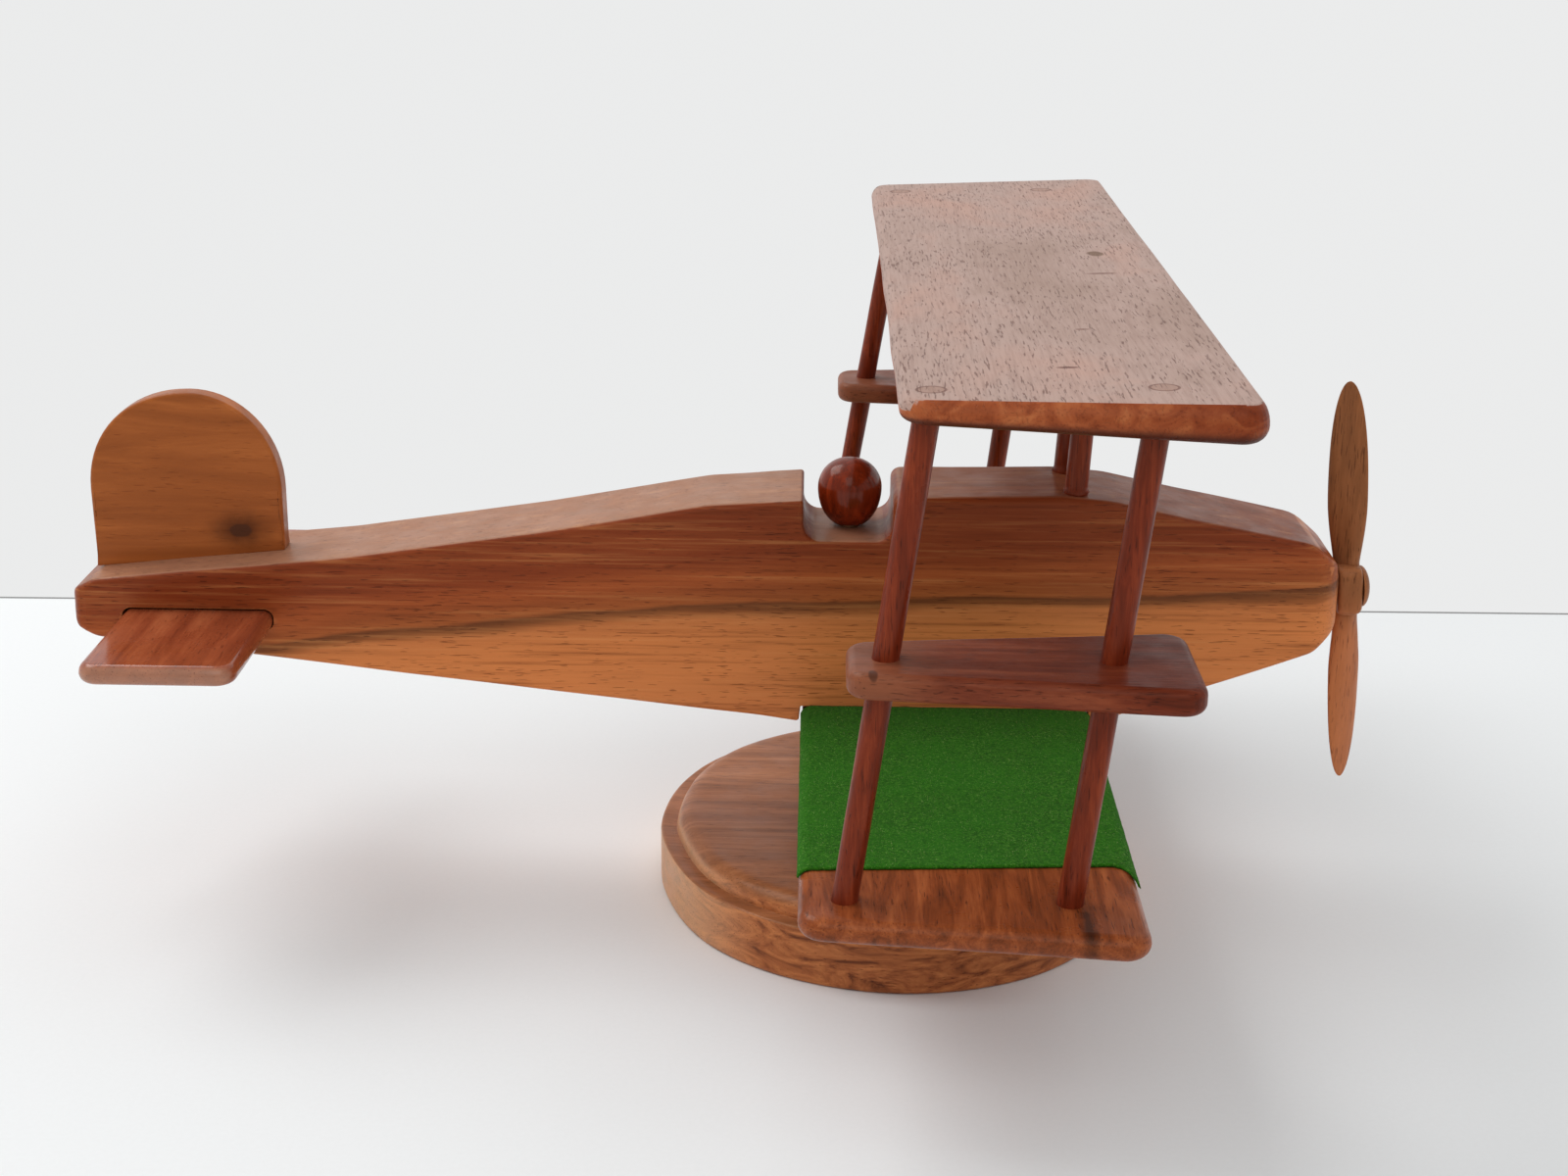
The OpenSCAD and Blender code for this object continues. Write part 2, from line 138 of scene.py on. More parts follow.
class Shader:
    """Short names for the node calls that the materials share."""

    def __init__(self, name):
        self.material = bpy.data.materials.new(name)
        self.material.use_nodes = True
        self.tree = self.material.node_tree
        self.shader = self.tree.nodes["Principled BSDF"]
        self.place = self.node("ShaderNodeTexCoord").outputs["Object"]

    def node(self, kind, settings=None, **inputs):
        made = self.tree.nodes.new(kind)
        for key, value in (settings or {}).items():
            setattr(made, key, value)
        for key, value in inputs.items():
            self.put(made.inputs[key.replace("_", " ")], value)
        return made

    def put(self, socket, value):
        if isinstance(value, bpy.types.NodeSocket):
            self.tree.links.new(value, socket)
        elif value is not None:
            socket.default_value = value

    def math(self, operation, a, b=None, clamp=False):
        made = self.node("ShaderNodeMath", {"operation": operation, "use_clamp": clamp})
        self.put(made.inputs[0], a)
        self.put(made.inputs[1], b)
        return made.outputs[0]

    def stretch(self, per_mm, shift=(0, 0, 0), turn=(0, 0, 0)):
        """Object coordinates counted in these many units a millimetre along each axis."""
        made = self.node("ShaderNodeMapping")
        self.put(made.inputs["Vector"], self.place)
        made.inputs["Scale"].default_value = [1000 * s for s in per_mm]
        made.inputs["Location"].default_value = shift
        made.inputs["Rotation"].default_value = turn
        return made.outputs[0]

    def noise(self, vector, scale=1, detail=4, rough=0.55, warp=0):
        made = self.node("ShaderNodeTexNoise", None, Vector=vector, Scale=scale, Detail=detail,
                         Roughness=rough, Distortion=warp)
        return made.outputs["Fac"]

    def step(self, value, low, high, to_low=0, to_high=1, smooth=True):
        kind = "SMOOTHSTEP" if smooth else "LINEAR"
        made = self.node("ShaderNodeMapRange", {"interpolation_type": kind, "clamp": True})
        for socket, number in zip(made.inputs, (value, low, high, to_low, to_high)):
            self.put(socket, number)
        return made.outputs[0]

    def ramp(self, value, stops):
        made = self.node("ShaderNodeValToRGB", None, Fac=value)
        points = made.color_ramp.elements
        points[0].position, points[0].color = stops[0]
        points[1].position, points[1].color = stops[-1]
        for place, colour in stops[1:-1]:
            points.new(place).color = colour
        return made.outputs["Color"]

    def mix(self, amount, a, b, blend="MIX"):
        made = self.node("ShaderNodeMix", {"data_type": "RGBA", "blend_type": blend})
        self.put(made.inputs[0], amount)
        self.put(made.inputs[6], a)
        self.put(made.inputs[7], b)
        return made.outputs[2]

    def axis(self, index):
        """One object coordinate in millimetres."""
        made = self.node("ShaderNodeSeparateXYZ", None, Vector=self.place)
        return self.math("MULTIPLY", made.outputs[index], 1000)

    def facing(self, index):
        """One component of the surface's direction, -1 to 1."""
        made = self.node("ShaderNodeSeparateXYZ")
        self.put(made.inputs[0], self.node("ShaderNodeNewGeometry").outputs["Normal"])
        return made.outputs[index]

    def blob(self, centre, size, wobble=0.0):
        """1 at a point, falling to 0 at an ellipsoid round it. Sizes in millimetres."""
        made = self.node("ShaderNodeMapping", {"vector_type": "TEXTURE"})
        self.put(made.inputs["Vector"], self.place)
        made.inputs["Location"].default_value = [c / 1000 for c in centre]
        made.inputs["Scale"].default_value = [s / 1000 for s in size]
        length = self.node("ShaderNodeVectorMath", {"operation": "LENGTH"})
        self.put(length.inputs[0], made.outputs[0])
        reach = length.outputs["Value"]
        if wobble:
            ripple = self.noise(self.stretch((0.25, 0.25, 0.25), shift=centre), 1, 3)
            ripple = self.math("MULTIPLY", self.math("SUBTRACT", ripple, 0.5), wobble)
            reach = self.math("ADD", reach, ripple)
        return self.step(reach, 0, 1, 1, 0)

    def edge_wear_and_highlight(self):
        """1 on outward edges, which are partly rubbed and partly lit by a painted highlight."""
        return self.step(self.node("ShaderNodeNewGeometry").outputs["Pointiness"], 0.52, 0.6)

    def finish(self, colour, rough, bump_height, bump_mm=0.12, coat=0.0, coat_rough=0.2, sheen=0.0,
               shine=0.15):
        self.put(self.shader.inputs["Base Color"], colour)
        self.put(self.shader.inputs["Roughness"], rough)
        bump = self.node("ShaderNodeBump", None, Height=bump_height)
        bump.inputs["Distance"].default_value = bump_mm / 1000
        bump.inputs["Strength"].default_value = 1
        self.put(self.shader.inputs["Normal"], bump.outputs[0])
        self.shader.inputs["Specular IOR Level"].default_value = shine
        self.shader.inputs["Specular Tint"].default_value = (1, 0.72, 0.5, 1)
        self.shader.inputs["Coat Weight"].default_value = coat
        self.shader.inputs["Coat Roughness"].default_value = coat_rough
        self.shader.inputs["Sheen Weight"].default_value = sheen
        return self.material


def along(axis, lengthwise, crosswise):
    """Counts a millimetre: few along the grain's axis, many across it."""
    return [lengthwise if i == axis else crosswise for i in range(3)]


def wood(name, grain, tones, stain=(1, 1, 1), band=0.05, shift=(0, 0, 0), pore_dark=0.55, pores=0.5,
         rough=0.42, coat=0.08, coat_rough=0.25, bump=0.1, warp=0.6, turn=(0, 0, 0), extra=None,
         edge_wear_and_highlight=None, fibre=0.25):
    """Varnished wood. grain is the axis it runs along, tones are dark, middle and light, and band
    counts the streaks a millimetre. extra(shader, colour) may paint more on. stain multiplies the
    whole colour. The edges' colour (by default the light tone) lightens outward edges: partly
    rubbed, partly a painted highlight."""
    s = Shader(name)
    bands = s.noise(s.stretch(along(grain, band * 0.12, band), shift, turn), 1, 5, 0.6, warp)
    fibres = s.noise(s.stretch(along(grain, 0.05, 1.6), shift, turn), 1, 3, 0.6)
    value = s.math("ADD", s.math("MULTIPLY", bands, 1 - fibre), s.math("MULTIPLY", fibres, fibre))
    colour = s.ramp(value, [(0.3, tones[0]), (0.5, tones[1]), (0.68, tones[2])])
    dashes = s.noise(s.stretch(along(grain, 0.16, 2.2), shift, turn), 1, 1, 0.5)
    patchy = s.noise(s.stretch((0.03, 0.03, 0.03), shift), 1, 2)
    dashes = s.math("ADD", dashes, s.math("MULTIPLY", patchy, 0.15))
    dashes = s.step(dashes, 0.78 - 0.16 * pores, 0.86 - 0.16 * pores)
    if extra:
        colour = extra(s, colour)
    colour = s.mix(s.math("MULTIPLY", dashes, pore_dark), colour, tones[0], "MULTIPLY")
    # Outward edges are lightened towards the edges' colour: partly rubbed edges, partly a painted highlight.
    worn_and_lit_edge = s.edge_wear_and_highlight()
    colour = s.mix(s.math("MULTIPLY", worn_and_lit_edge, 0.55), colour, edge_wear_and_highlight or tones[2])
    mottle = s.noise(s.stretch((0.09, 0.09, 0.09), shift), 1, 3)
    gloss = s.step(mottle, 0.3, 0.7, rough - 0.07, rough + 0.09)
    gloss = s.math("ADD", gloss, s.math("MULTIPLY", worn_and_lit_edge, -0.05))
    height = s.math("SUBTRACT", s.math("MULTIPLY", fibres, 0.35), s.math("MULTIPLY", dashes, 0.6))
    height = s.math("ADD", height, s.math("MULTIPLY", mottle, 1.2))
    colour = s.mix(1, colour, (*stain, 1), "MULTIPLY")
    return s.finish(colour, gloss, height, bump, coat, coat_rough)


# ---- Boards with rounded edges ----

def path(points, step=5.0):
    """A polyline with rounded corners: points are (u, v) or (u, v, corner radius)."""
    corners = [(Vector(p[:2]), p[2] if len(p) > 2 else 0) for p in points]
    line = [corners[0][0]]
    for (before, _), (here, radius), (after, _) in zip(corners, corners[1:], corners[2:]):
        to_a, to_b = (before - here).normalized(), (after - here).normalized()
        half = to_a.angle(to_b) / 2
        if radius < 0.05 or half > math.radians(89.5):
            line.append(here)
            continue
        reach = radius / math.tan(half)
        centre = here + (to_a + to_b).normalized() * radius / math.sin(half)
        start, end = here + to_a * reach - centre, here + to_b * reach - centre
        turn = start.angle_signed(end)
        count = max(3, round(abs(turn) / math.radians(12)))
        for k in range(count + 1):
            a = math.atan2(start.y, start.x) - turn * k / count
            line.append(centre + radius * Vector((math.cos(a), math.sin(a))))
    line.append(corners[-1][0])
    fine = [line[0]]
    for a, b in zip(line, line[1:]):
        pieces = max(1, math.ceil((b - a).length / step))
        fine += [a.lerp(b, k / pieces) for k in range(1, pieces + 1) if (b - a).length > 1e-6]
    return fine


def pair(upper, lower):
    """Gives the lower line as many points as the upper one, at the same shares of its length."""
    total = [0]
    for a, b in zip(upper, upper[1:]):
        total.append(total[-1] + (b - a).length)
    shares = [t / total[-1] for t in total]
    lengths = [0]
    for a, b in zip(lower, lower[1:]):
        lengths.append(lengths[-1] + (b - a).length)
    spots = sorted(set(shares) | {t / lengths[-1] for t in lengths})
    spots = [v for i, v in enumerate(spots) if i == 0 or v - spots[i - 1] > 1e-5]

    def at(line, marks, share):
        want = share * marks[-1]
        i = 0
        while i < len(line) - 2 and marks[i + 1] < want - 1e-9:
            i += 1
        t = (want - marks[i]) / max(marks[i + 1] - marks[i], 1e-9)
        return line[i].lerp(line[i + 1], min(max(t, 0), 1))

    return [at(upper, total, v) for v in spots], [at(lower, lengths, v) for v in spots]


def add_mesh(name, points, faces, body="airframe", sharp=None, weighted=True):
    """A piece from points in millimetres, its faces turned outwards, riding on a body."""
    mesh = bpy.data.meshes.new(name)
    mesh.from_pydata([Vector(p) / 1000 for p in points], [], faces)
    mesh.validate()
    corners = [[mesh.vertices[v].co for v in face.vertices] for face in mesh.polygons]
    if sum(c[0].dot(c[k].cross(c[k + 1])) for c in corners for k in range(1, len(c) - 1)) < 0:
        mesh.flip_normals()
    mesh.update()
    made = bpy.data.objects.new(name, mesh)
    scene.collection.objects.link(made)
    mesh.polygons.foreach_set("use_smooth", [True] * len(mesh.polygons))
    if sharp:
        mesh.set_sharp_from_angle(angle=math.radians(sharp))
    if weighted:
        made.modifiers.new("even_shading", "WEIGHTED_NORMAL").keep_sharp = True
    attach(made, body)
    return made


def board(name, upper, lower, half, radius, place, rows=8, arc=6, crown=90, edge=None, **mesh):
    """Board between two outline lines of (u, v), thick 2 * half along w, its edges rounded.
    place(u, v, w) gives the point in space. crown is where the rounding stops at the +w face, in
    degrees. edge(p) scales the rounding."""
    upper, lower = pair(upper, lower)
    n, m = len(upper), rows
    loop = [(i, 0) for i in range(n)] + [(n - 1, j) for j in range(1, m)]
    loop += [(i, m) for i in reversed(range(n))] + [(0, j) for j in reversed(range(1, m))]
    spot = {(i, j): lower[i].lerp(upper[i], j / m) for i, j in loop}
    outline = [spot[k] for k in loop]
    lengths = [0]
    for a, b in zip(outline, outline[1:] + outline[:1]):
        lengths.append(lengths[-1] + (b - a).length)

    def round_loop(length):
        """The point at a length along the closed outline."""
        length %= lengths[-1]
        k = min(bisect.bisect_right(lengths, length) - 1, len(outline) - 1)
        share = (length - lengths[k]) / max(lengths[k + 1] - lengths[k], 1e-9)
        return outline[k].lerp(outline[(k + 1) % len(outline)], share)

    normals = []
    for length in lengths[:-1]:
        way = round_loop(length + 1) - round_loop(length - 1)
        normals.append(Vector((way.y, -way.x)).normalized())

    def rings(p):
        """Inset and height of each ring at an outline point, from the -w face to the +w face."""
        r = radius * (edge(p) if edge else 1)
        made = []
        for k in range(arc + 1):
            a = math.radians(90 - 90 * k / arc)
            made.append((r * (1 - math.cos(a)), -half + r * (1 - math.sin(a))))
        top = math.radians(crown)
        tall = min(2 * half - r, r) if crown == 90 else 2 * half - r
        rise = tall / math.sin(top)
        for k in range(arc + 1):
            a = top * k / arc
            made.append((r * (1 - math.cos(a)), half - tall + rise * math.sin(a)))
        if 2 * half - r - tall < 0.01:
            made.pop(arc + 1)
        return made

    profile = [rings(p) for p in outline]
    count = len(profile[0])
    points, index = [], {}

    def add(u, v, w):
        points.append(place(u, v, w))
        return len(points) - 1

    for r in range(count):
        for k, p in enumerate(outline):
            inset, w = profile[k][r]
            q = p - normals[k] * inset
            index[r, k] = add(q.x, q.y, w)
    faces = []
    total = len(outline)
    for r in range(count - 1):
        for k in range(total):
            k2 = (k + 1) % total
            faces.append((index[r, k], index[r, k2], index[r + 1, k2], index[r + 1, k]))
    number = {key: k for k, key in enumerate(loop)}
    for r, flip in ((0, True), (count - 1, False)):
        cap = {}
        for i in range(n):
            for j in range(m + 1):
                if (i, j) in number:
                    cap[i, j] = index[r, number[i, j]]
                else:
                    a, b = number[i, 0], number[i, m]
                    low = outline[a] - normals[a] * profile[a][r][0]
                    high = outline[b] - normals[b] * profile[b][r][0]
                    w = profile[a][r][1] * (1 - j / m) + profile[b][r][1] * j / m
                    q = low.lerp(high, j / m)
                    cap[i, j] = add(q.x, q.y, w)
        for i in range(n - 1):
            for j in range(m):
                face = (cap[i, j], cap[i + 1, j], cap[i + 1, j + 1], cap[i, j + 1])
                faces.append(tuple(reversed(face)) if flip else face)
    return add_mesh(name, points, faces, **mesh)


def sway(x, y, z, size=0.25, pitch=60.0, seed=0):
    """A small unevenness, as from hand sawing and sanding."""
    return size * noise.noise(Vector((x / pitch + seed, y / pitch - seed, z / pitch)))


def dress(piece, material, slot, *nodes):
    piece.data.materials.clear()
    piece.data.materials.append(material)
    if nodes:
        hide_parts(*nodes)
    return piece


# ---- Wings ----

def wing_outline(back, front, tip_back, tip_front, radius, inner_back=None, inner_front=None):
    """Front and rear edges of a plank seen from above, as (y, x) lines from one end to the other.
    Without inner values both ends are alike."""
    if inner_back is None:
        ends = [(-tip_back, -tip_front), (tip_back, tip_front)]
    else:
        ends = [(inner_back, inner_front), (tip_back, tip_front)]
    (back_a, front_a), (back_b, front_b) = ends
    corner = (radius + 2) / (front - back)

    def at(share):
        x = back + (front - back) * share
        return (back_a + (front_a - back_a) * share, x), (back_b + (front_b - back_b) * share, x)

    (rear_a, rear_b), (fore_a, fore_b) = at(corner), at(1 - corner)
    rear = path([rear_a, (back_a, back, radius), (back_b, back, radius), rear_b], 6)[1:-1]
    fore = path([fore_a, (front_a, front, radius), (front_b, front, radius), fore_b], 6)[1:-1]
    return fore, rear


def plank(name, back, front, low, high, tips, radius, inner=None, side=1, seed=0, wedge=None, **kind):
    """Plank in the XY plane. tips and inner are how far its rear and front edges reach;
    wedge(x) gives its (middle height, thickness / nominal)."""
    fore, rear = wing_outline(back, front, tips[0], tips[1], radius, *(inner or ()))
    half, mid = (high - low) / 2, (high + low) / 2

    def place(u, v, w):
        y = side * u
        z, share = wedge(v) if wedge else (mid, 1)
        x = v + sway(v, y, 3, 0.35, 45, seed)
        return x, y + sway(v, y, 9, 0.35, 30, seed + 3), z + w * share

    return board(name, fore, rear, half, kind.pop("edge_r", half * 0.98), place, **kind)


# The planks' edges lie this far inside the CAD's box, which leaves room for their unevenness
SHY = 0.3
# The wing tips slant: the rear edge ends short of the front edge
TIP_BACK = 190.0
TIP_FRONT = LOWER_HIGH[1]
TOP_SLANT = 11
# Nominal thickness of the top wing, and its faces' heights at the trailing edge
TOP_THICK = 11.0
TOP_REAR_LOW, TOP_REAR_HIGH = 218.7, 225.7

lower_wing = plank("lower_wing_plank", LOWER[0] + SHY, LOWER_HIGH[0] - SHY, LOWER[2],
                   LOWER_HIGH[2] - 0.05, (TIP_BACK - 0.5, TIP_FRONT - 0.5), 8, rows=14, seed=2)
top_back, top_front = TOP[0] + SHY, TOP_HIGH[0] - SHY


def top_section(x):
    """Middle height of the top wing at x, and its thickness / nominal."""
    t = (x - top_back) / (top_front - top_back)
    low = TOP_REAR_LOW + (TOP[2] - TOP_REAR_LOW) * t
    high = TOP_REAR_HIGH - 0.1 + (TOP_HIGH[2] - TOP_REAR_HIGH) * t
    return (low + high) / 2, (high - low) / TOP_THICK


top_wing = plank("top_wing_plank", top_back, top_front, TOP[2], TOP[2] + TOP_THICK,
                 (TOP_HIGH[1] - TOP_SLANT, TOP_HIGH[1] - 0.5), 8,
                 inner=(TOP[1] + TOP_SLANT, TOP[1] + 0.5), rows=14, seed=7,
                 wedge=top_section, edge_r=4.6, crown=62)

# The left strip sits a little lower than the right one
LEFT_DROP = 1.0
# Where a strip's rear and front edges end towards the fuselage
STRIP_INNER = (161, 149)
strips = []
for word, side in SIDES:
    drop = LEFT_DROP if side == LEFT else 0.0
    strips.append(plank(f"strip_{word}", STRIP[0] + SHY, STRIP_HIGH[0] - SHY, STRIP[2] - drop,
                        STRIP_HIGH[2] - drop, (TIP_BACK - 0.3, TIP_FRONT - 0.4), 7,
                        inner=STRIP_INNER, side=side, seed=11 + side, edge_r=2.8))


# ---- Fuselage ----

MIDDLE = BODY_HIGH[1]
tail, nose = BODY[0], BODY_HIGH[0]
belly, deck = BODY[2], BODY_HIGH[2]
wing_seat = LOWER_HIGH[2] + 0.05
# The fuselage's back rises in a straight line between these two points, where the fin stands
BACK_TAIL, BACK_MID = (-286, 117.4), (-200, 126.2)
COCKPIT_REAR, COCKPIT_FRONT, COCKPIT_FLOOR = -38.5, -7.5, 135
belly_line = belly - 0.4
back_line = path([(tail, 110), (tail, 113, 4), (*BACK_TAIL, 8), (*BACK_MID, 60), (-130, 136.6, 60),
                  (-72, 147, 40), (COCKPIT_REAR, 149.5, 1.2), (COCKPIT_REAR, COCKPIT_FLOOR, 6),
                  (COCKPIT_FRONT, COCKPIT_FLOOR, 6), (COCKPIT_FRONT, 150.6, 3.5),
                  (50, deck - 0.2, 30), (68, 150.6, 40), (95, 144.7, 60), (137.5, 136.1, 14),
                  (147.2, 128.2, 6), (nose, 119.5, 4), (nose, 118.2)], 3.0)[1:-1]
keel_line = path([(tail, 103), (tail, 100.4, 4), (-286, 96.3, 10), (-39.2, belly_line, 1),
                  (-38.6, wing_seat, 0.4), (62.6, wing_seat, 0.4), (63.4, belly_line, 1),
                  (140, 96.6, 10), (nose, 104.8, 9), (nose, 109.8)], 3.0)[1:-1]


def body_half(x):
    """Half of the fuselage's width, drawn in at the nose and the tail."""
    front, back = 11.0, 5.0
    if x > nose - front:
        return MIDDLE - front + math.sqrt(max(front ** 2 - (x - nose + front) ** 2, 0))
    if x < tail + back:
        return MIDDLE - back + math.sqrt(max(back ** 2 - (tail + back - x) ** 2, 0))
    return MIDDLE


def body_place(u, v, w):
    x = min(max(u, tail), nose)
    y = -w * (body_half(x) / MIDDLE) + sway(u, w, v, 0.25, 50, 5)
    return (u, max(-MIDDLE, min(MIDDLE, y)), v + sway(u, w, v, 0.3, 40, 1))


def ease(value, low, high):
    t = min(max((value - low) / (high - low), 0), 1)
    return t * t * (3 - 2 * t)


def body_edge(p):
    """Crisper round the cockpit and the wing's seat, softer elsewhere."""
    if p.y > 107:
        return 0.42 + 0.3 * ease(abs(p.x + 23), 23, 38)
    return 0.2 + 0.42 * ease(abs(p.x - 12), 51, 68)


fuselage = board("fuselage_block", back_line, keel_line, MIDDLE, 3.2, body_place, rows=16, edge=body_edge)

# The tailplane's slot through the tail
slot_rear, slot_front = PLANE[0] - 0.4, PLANE_HIGH[0] + 0.4
SLOT_LOW, SLOT_MID, SLOT_HIGH = 99.6, 103.5, 107.4


def slot_line(level):
    return path([(slot_rear, SLOT_MID), (slot_rear, level, 3.4), (slot_front, level, 3.4),
                 (slot_front, SLOT_MID)], 4)


slot = board("slot_cutter", slot_line(SLOT_HIGH), slot_line(SLOT_LOW), 30, 0.1,
             lambda u, v, w: (u, -w, v), rows=2, arc=1, weighted=False)


def cut(piece, cutter):
    change = piece.modifiers.new("cut", "BOOLEAN")
    change.operation = "DIFFERENCE"
    change.solver = "EXACT"
    change.object = cutter
    shape = bpy.data.meshes.new_from_object(piece.evaluated_get(bpy.context.evaluated_depsgraph_get()))
    piece.modifiers.clear()
    piece.data = shape
    shape.set_sharp_from_angle(angle=math.radians(40))
    piece.modifiers.new("even_shading", "WEIGHTED_NORMAL").keep_sharp = True
    bpy.data.objects.remove(cutter)


fuselage.modifiers.clear()
cut(fuselage, slot)


# ---- Tail ----

def fin_deck(x):
    """Height of the fin's foot at x, just inside the fuselage's back."""
    (x0, z0), (x1, z1) = BACK_TAIL, BACK_MID
    return z0 + (x - x0) * (z1 - z0) / (x1 - x0) - 0.15


# The fin's highest point, and the level that its two curves start from
CROWN = -253
FIN_SPRING = 145
# The fin stands this far behind its place in the CAD
FIN_BACK = 0.6
fin_tall = FIN_HIGH[2] - FIN_SPRING - 0.2
fin_top = []
for k in range(37):
    a = math.pi - math.pi * k / 36
    ca, sa = math.cos(a), math.sin(a)
    if ca > 0:
        fin_top.append((CROWN + (FIN_HIGH[0] - CROWN - 0.2) * ca, FIN_SPRING + fin_tall * sa ** 0.97))
    else:
        fin_top.append((CROWN - (CROWN - FIN[0] - 0.3) * abs(ca) ** 0.94,
                        FIN_SPRING + fin_tall * sa ** 0.94))
fin_top = path(fin_top, 4)
rear_deck, front_deck = fin_deck(FIN[0]), fin_deck(FIN_HIGH[0])
fin_foot = path([(FIN[0] + 0.3, rear_deck + 1.2), (FIN[0] + 0.9, rear_deck, 0.5),
                 (FIN_HIGH[0] - 0.2, front_deck, 0.5), (FIN_HIGH[0] - 0.2, front_deck + 1.2)], 4)[1:-1]
fin = board("fin_board", fin_top, fin_foot, FIN_HIGH[1], 1.5,
            lambda u, v, w: (u - FIN_BACK, -w * 0.97 + sway(u, v, w, 0.25, 25, 8), v),
            edge=lambda p: 0.15 if p.y < fin_deck(p.x) + 3 else 1)

plane_tip = PLANE_HIGH[1] - 0.2
tail_fore, tail_rear = wing_outline(PLANE[0] + 0.1, PLANE_HIGH[0] - 0.1, plane_tip, plane_tip, 7)
PLANE_HALF = (PLANE_HIGH[2] - PLANE[2]) / 2
plane_mid = (PLANE[2] + PLANE_HIGH[2]) / 2 - 0.4
tailplane = board("tailplane_board", tail_fore, tail_rear, PLANE_HALF, PLANE_HALF * 0.9,
                  lambda u, v, w: (v + sway(v, u, 0, 0.2, 30, 3), u, w + plane_mid), crown=80)


# ---- Turned and lofted pieces ----

def loft(name, rings, **mesh):
    """Skin over rings of equally many points, with a fan at each end."""
    points = [p for ring in rings for p in ring]
    size = len(rings[0])
    faces = []
    for r in range(len(rings) - 1):
        for k in range(size):
            a, b = r * size + k, r * size + (k + 1) % size
            faces.append((a, b, b + size, a + size))
    for first, flip in ((0, True), ((len(rings) - 1) * size, False)):
        centre = sum((Vector(points[first + k]) for k in range(size)), Vector()) / size
        points.append(tuple(centre))
        for k in range(size):
            face = (first + k, first + (k + 1) % size, len(points) - 1)
            faces.append(tuple(reversed(face)) if flip else face)
    return add_mesh(name, points, faces, **mesh)


def ring_round(centre, across, upward, radius, count, uneven=0.0, seed=0):
    """A circle of points about a centre, in the plane of two directions."""
    made = []
    for k in range(count):
        a = 2 * math.pi * k / count
        spot = Vector((math.cos(a) * 1.3 + seed, math.sin(a) * 1.3, centre.z / 30))
        r = radius + uneven * noise.noise(spot)
        made.append(tuple(centre + (across * math.cos(a) + upward * math.sin(a)) * r))
    return made


def dowel(name, foot, lean, low, high, radius, seed, flare=()):
    """Round rod through foot, cut level at low and high, slightly uneven. lean is its run over its
    rise, and flare holds the levels where glue thickens it."""
    rings = []
    count, sides = 60, 28
    for k in range(count + 1):
        z = low + (high - low) * k / count
        x = foot[0] + (z - foot[2]) * lean
        r = radius + 0.12 * noise.noise(Vector((seed, z / 25, 0)))
        r += sum(0.7 * max(0, 1 - abs(z - level) / 1.6) ** 2 for level in flare)
        ring = []
        for j in range(sides):
            a = 2 * math.pi * j / sides
            ring.append((x + r * math.cos(a), foot[1] + r * math.sin(a), z))
        rings.append(ring)
    return loft(name, rings, sharp=50)


struts = []
strut_tops = []
STRUT_R = 4.0
# The left rear strut stands further back at its foot than the right one, and leans more
LEFT_BACK, LEFT_LEAN = 1.2, 0.026


def rod_of(node, level):
    """From a rod's box: its centre at a level, its lean, its foot's height and its top's height."""
    low, high = box(node)
    lean = (high[0] - low[0] - 2 * STRUT_R) / (high[2] - low[2])
    x = low[0] + STRUT_R + (level - low[2]) * lean
    return (x, (low[1] + high[1]) / 2, level), lean, low[2], high[2]


deck_low = LOWER_HIGH[2]
for end in ("rear", "front"):
    for word, side in SIDES:
        node = f"strut_{end}_{word}"
        foot, lean, low, high = rod_of(node, deck_low)
        if (end, word) == ("rear", "left"):
            foot, lean = (foot[0] - LEFT_BACK, *foot[1:]), lean + LEFT_LEAN
        top_x = foot[0] + (high - deck_low) * lean
        mid, share = top_section(top_x)
        top_z = mid + share * TOP_THICK / 2
        strut_tops.append((top_x, foot[1], top_z))
        struts.append((node, dowel(node + "_rod", foot, lean, low, top_z - 0.3, STRUT_R - 0.05,
                                   len(struts) * 3.1, (deck_low, STRIP[2] + 0.2))))
# How deep the cabane struts are let into the front deck
CABANE_SOCKET = 12
for word, side in SIDES:
    node = "cabane_strut_" + word
    foot, lean, low, high = rod_of(node, box(node)[0][2] + CABANE_SOCKET)
    struts.append((node, dowel(node + "_rod", foot, lean, low + CABANE_SOCKET / 2, high, STRUT_R - 0.05,
                               20 + side, (foot[2] + 0.4,))))

# Pilot's head: a turned bead, flatter on top and drawn in below
HEAD_WIDEST, HEAD_BELOW, HEAD_ABOVE = 148.8, 14.2, 10.5
head_x, head_r = (HEAD[0] + HEAD_HIGH[0]) / 2, (HEAD_HIGH[0] - HEAD[0]) / 2 - 0.05
rings = []
for k in range(41):
    a = math.radians(-64 + (88 + 64) * k / 40)
    z = HEAD_WIDEST + (HEAD_BELOW if a < 0 else HEAD_ABOVE) * math.sin(a)
    r = head_r * math.cos(a) ** (0.86 if a < 0 else 0.96)
    centre = Vector((head_x, 0, z))
    rings.append(ring_round(centre, Vector((1, 0, 0)), Vector((0, 1, 0)), r, 48, 0.25, 4))
head = loft("pilot_head_bead", rings)

# Plinth: its mean radius, its oval, its skew and its centre
BASE_MEAN = (BASE_HIGH[0] - BASE[0] + BASE_HIGH[1] - BASE[1]) / 4
BASE_OVAL = (BASE_HIGH[1] - BASE[1] - BASE_HIGH[0] + BASE[0]) / 4
BASE_SKEW = 1.3
BASE_X = -5


def plinth_radius(a, inset):
    waver = 0.9 * noise.noise(Vector((2.2 * math.cos(a), 2.2 * math.sin(a), 5)))
    return BASE_MEAN - BASE_OVAL * math.cos(2 * a) - BASE_SKEW * math.sin(2 * a) - inset + waver


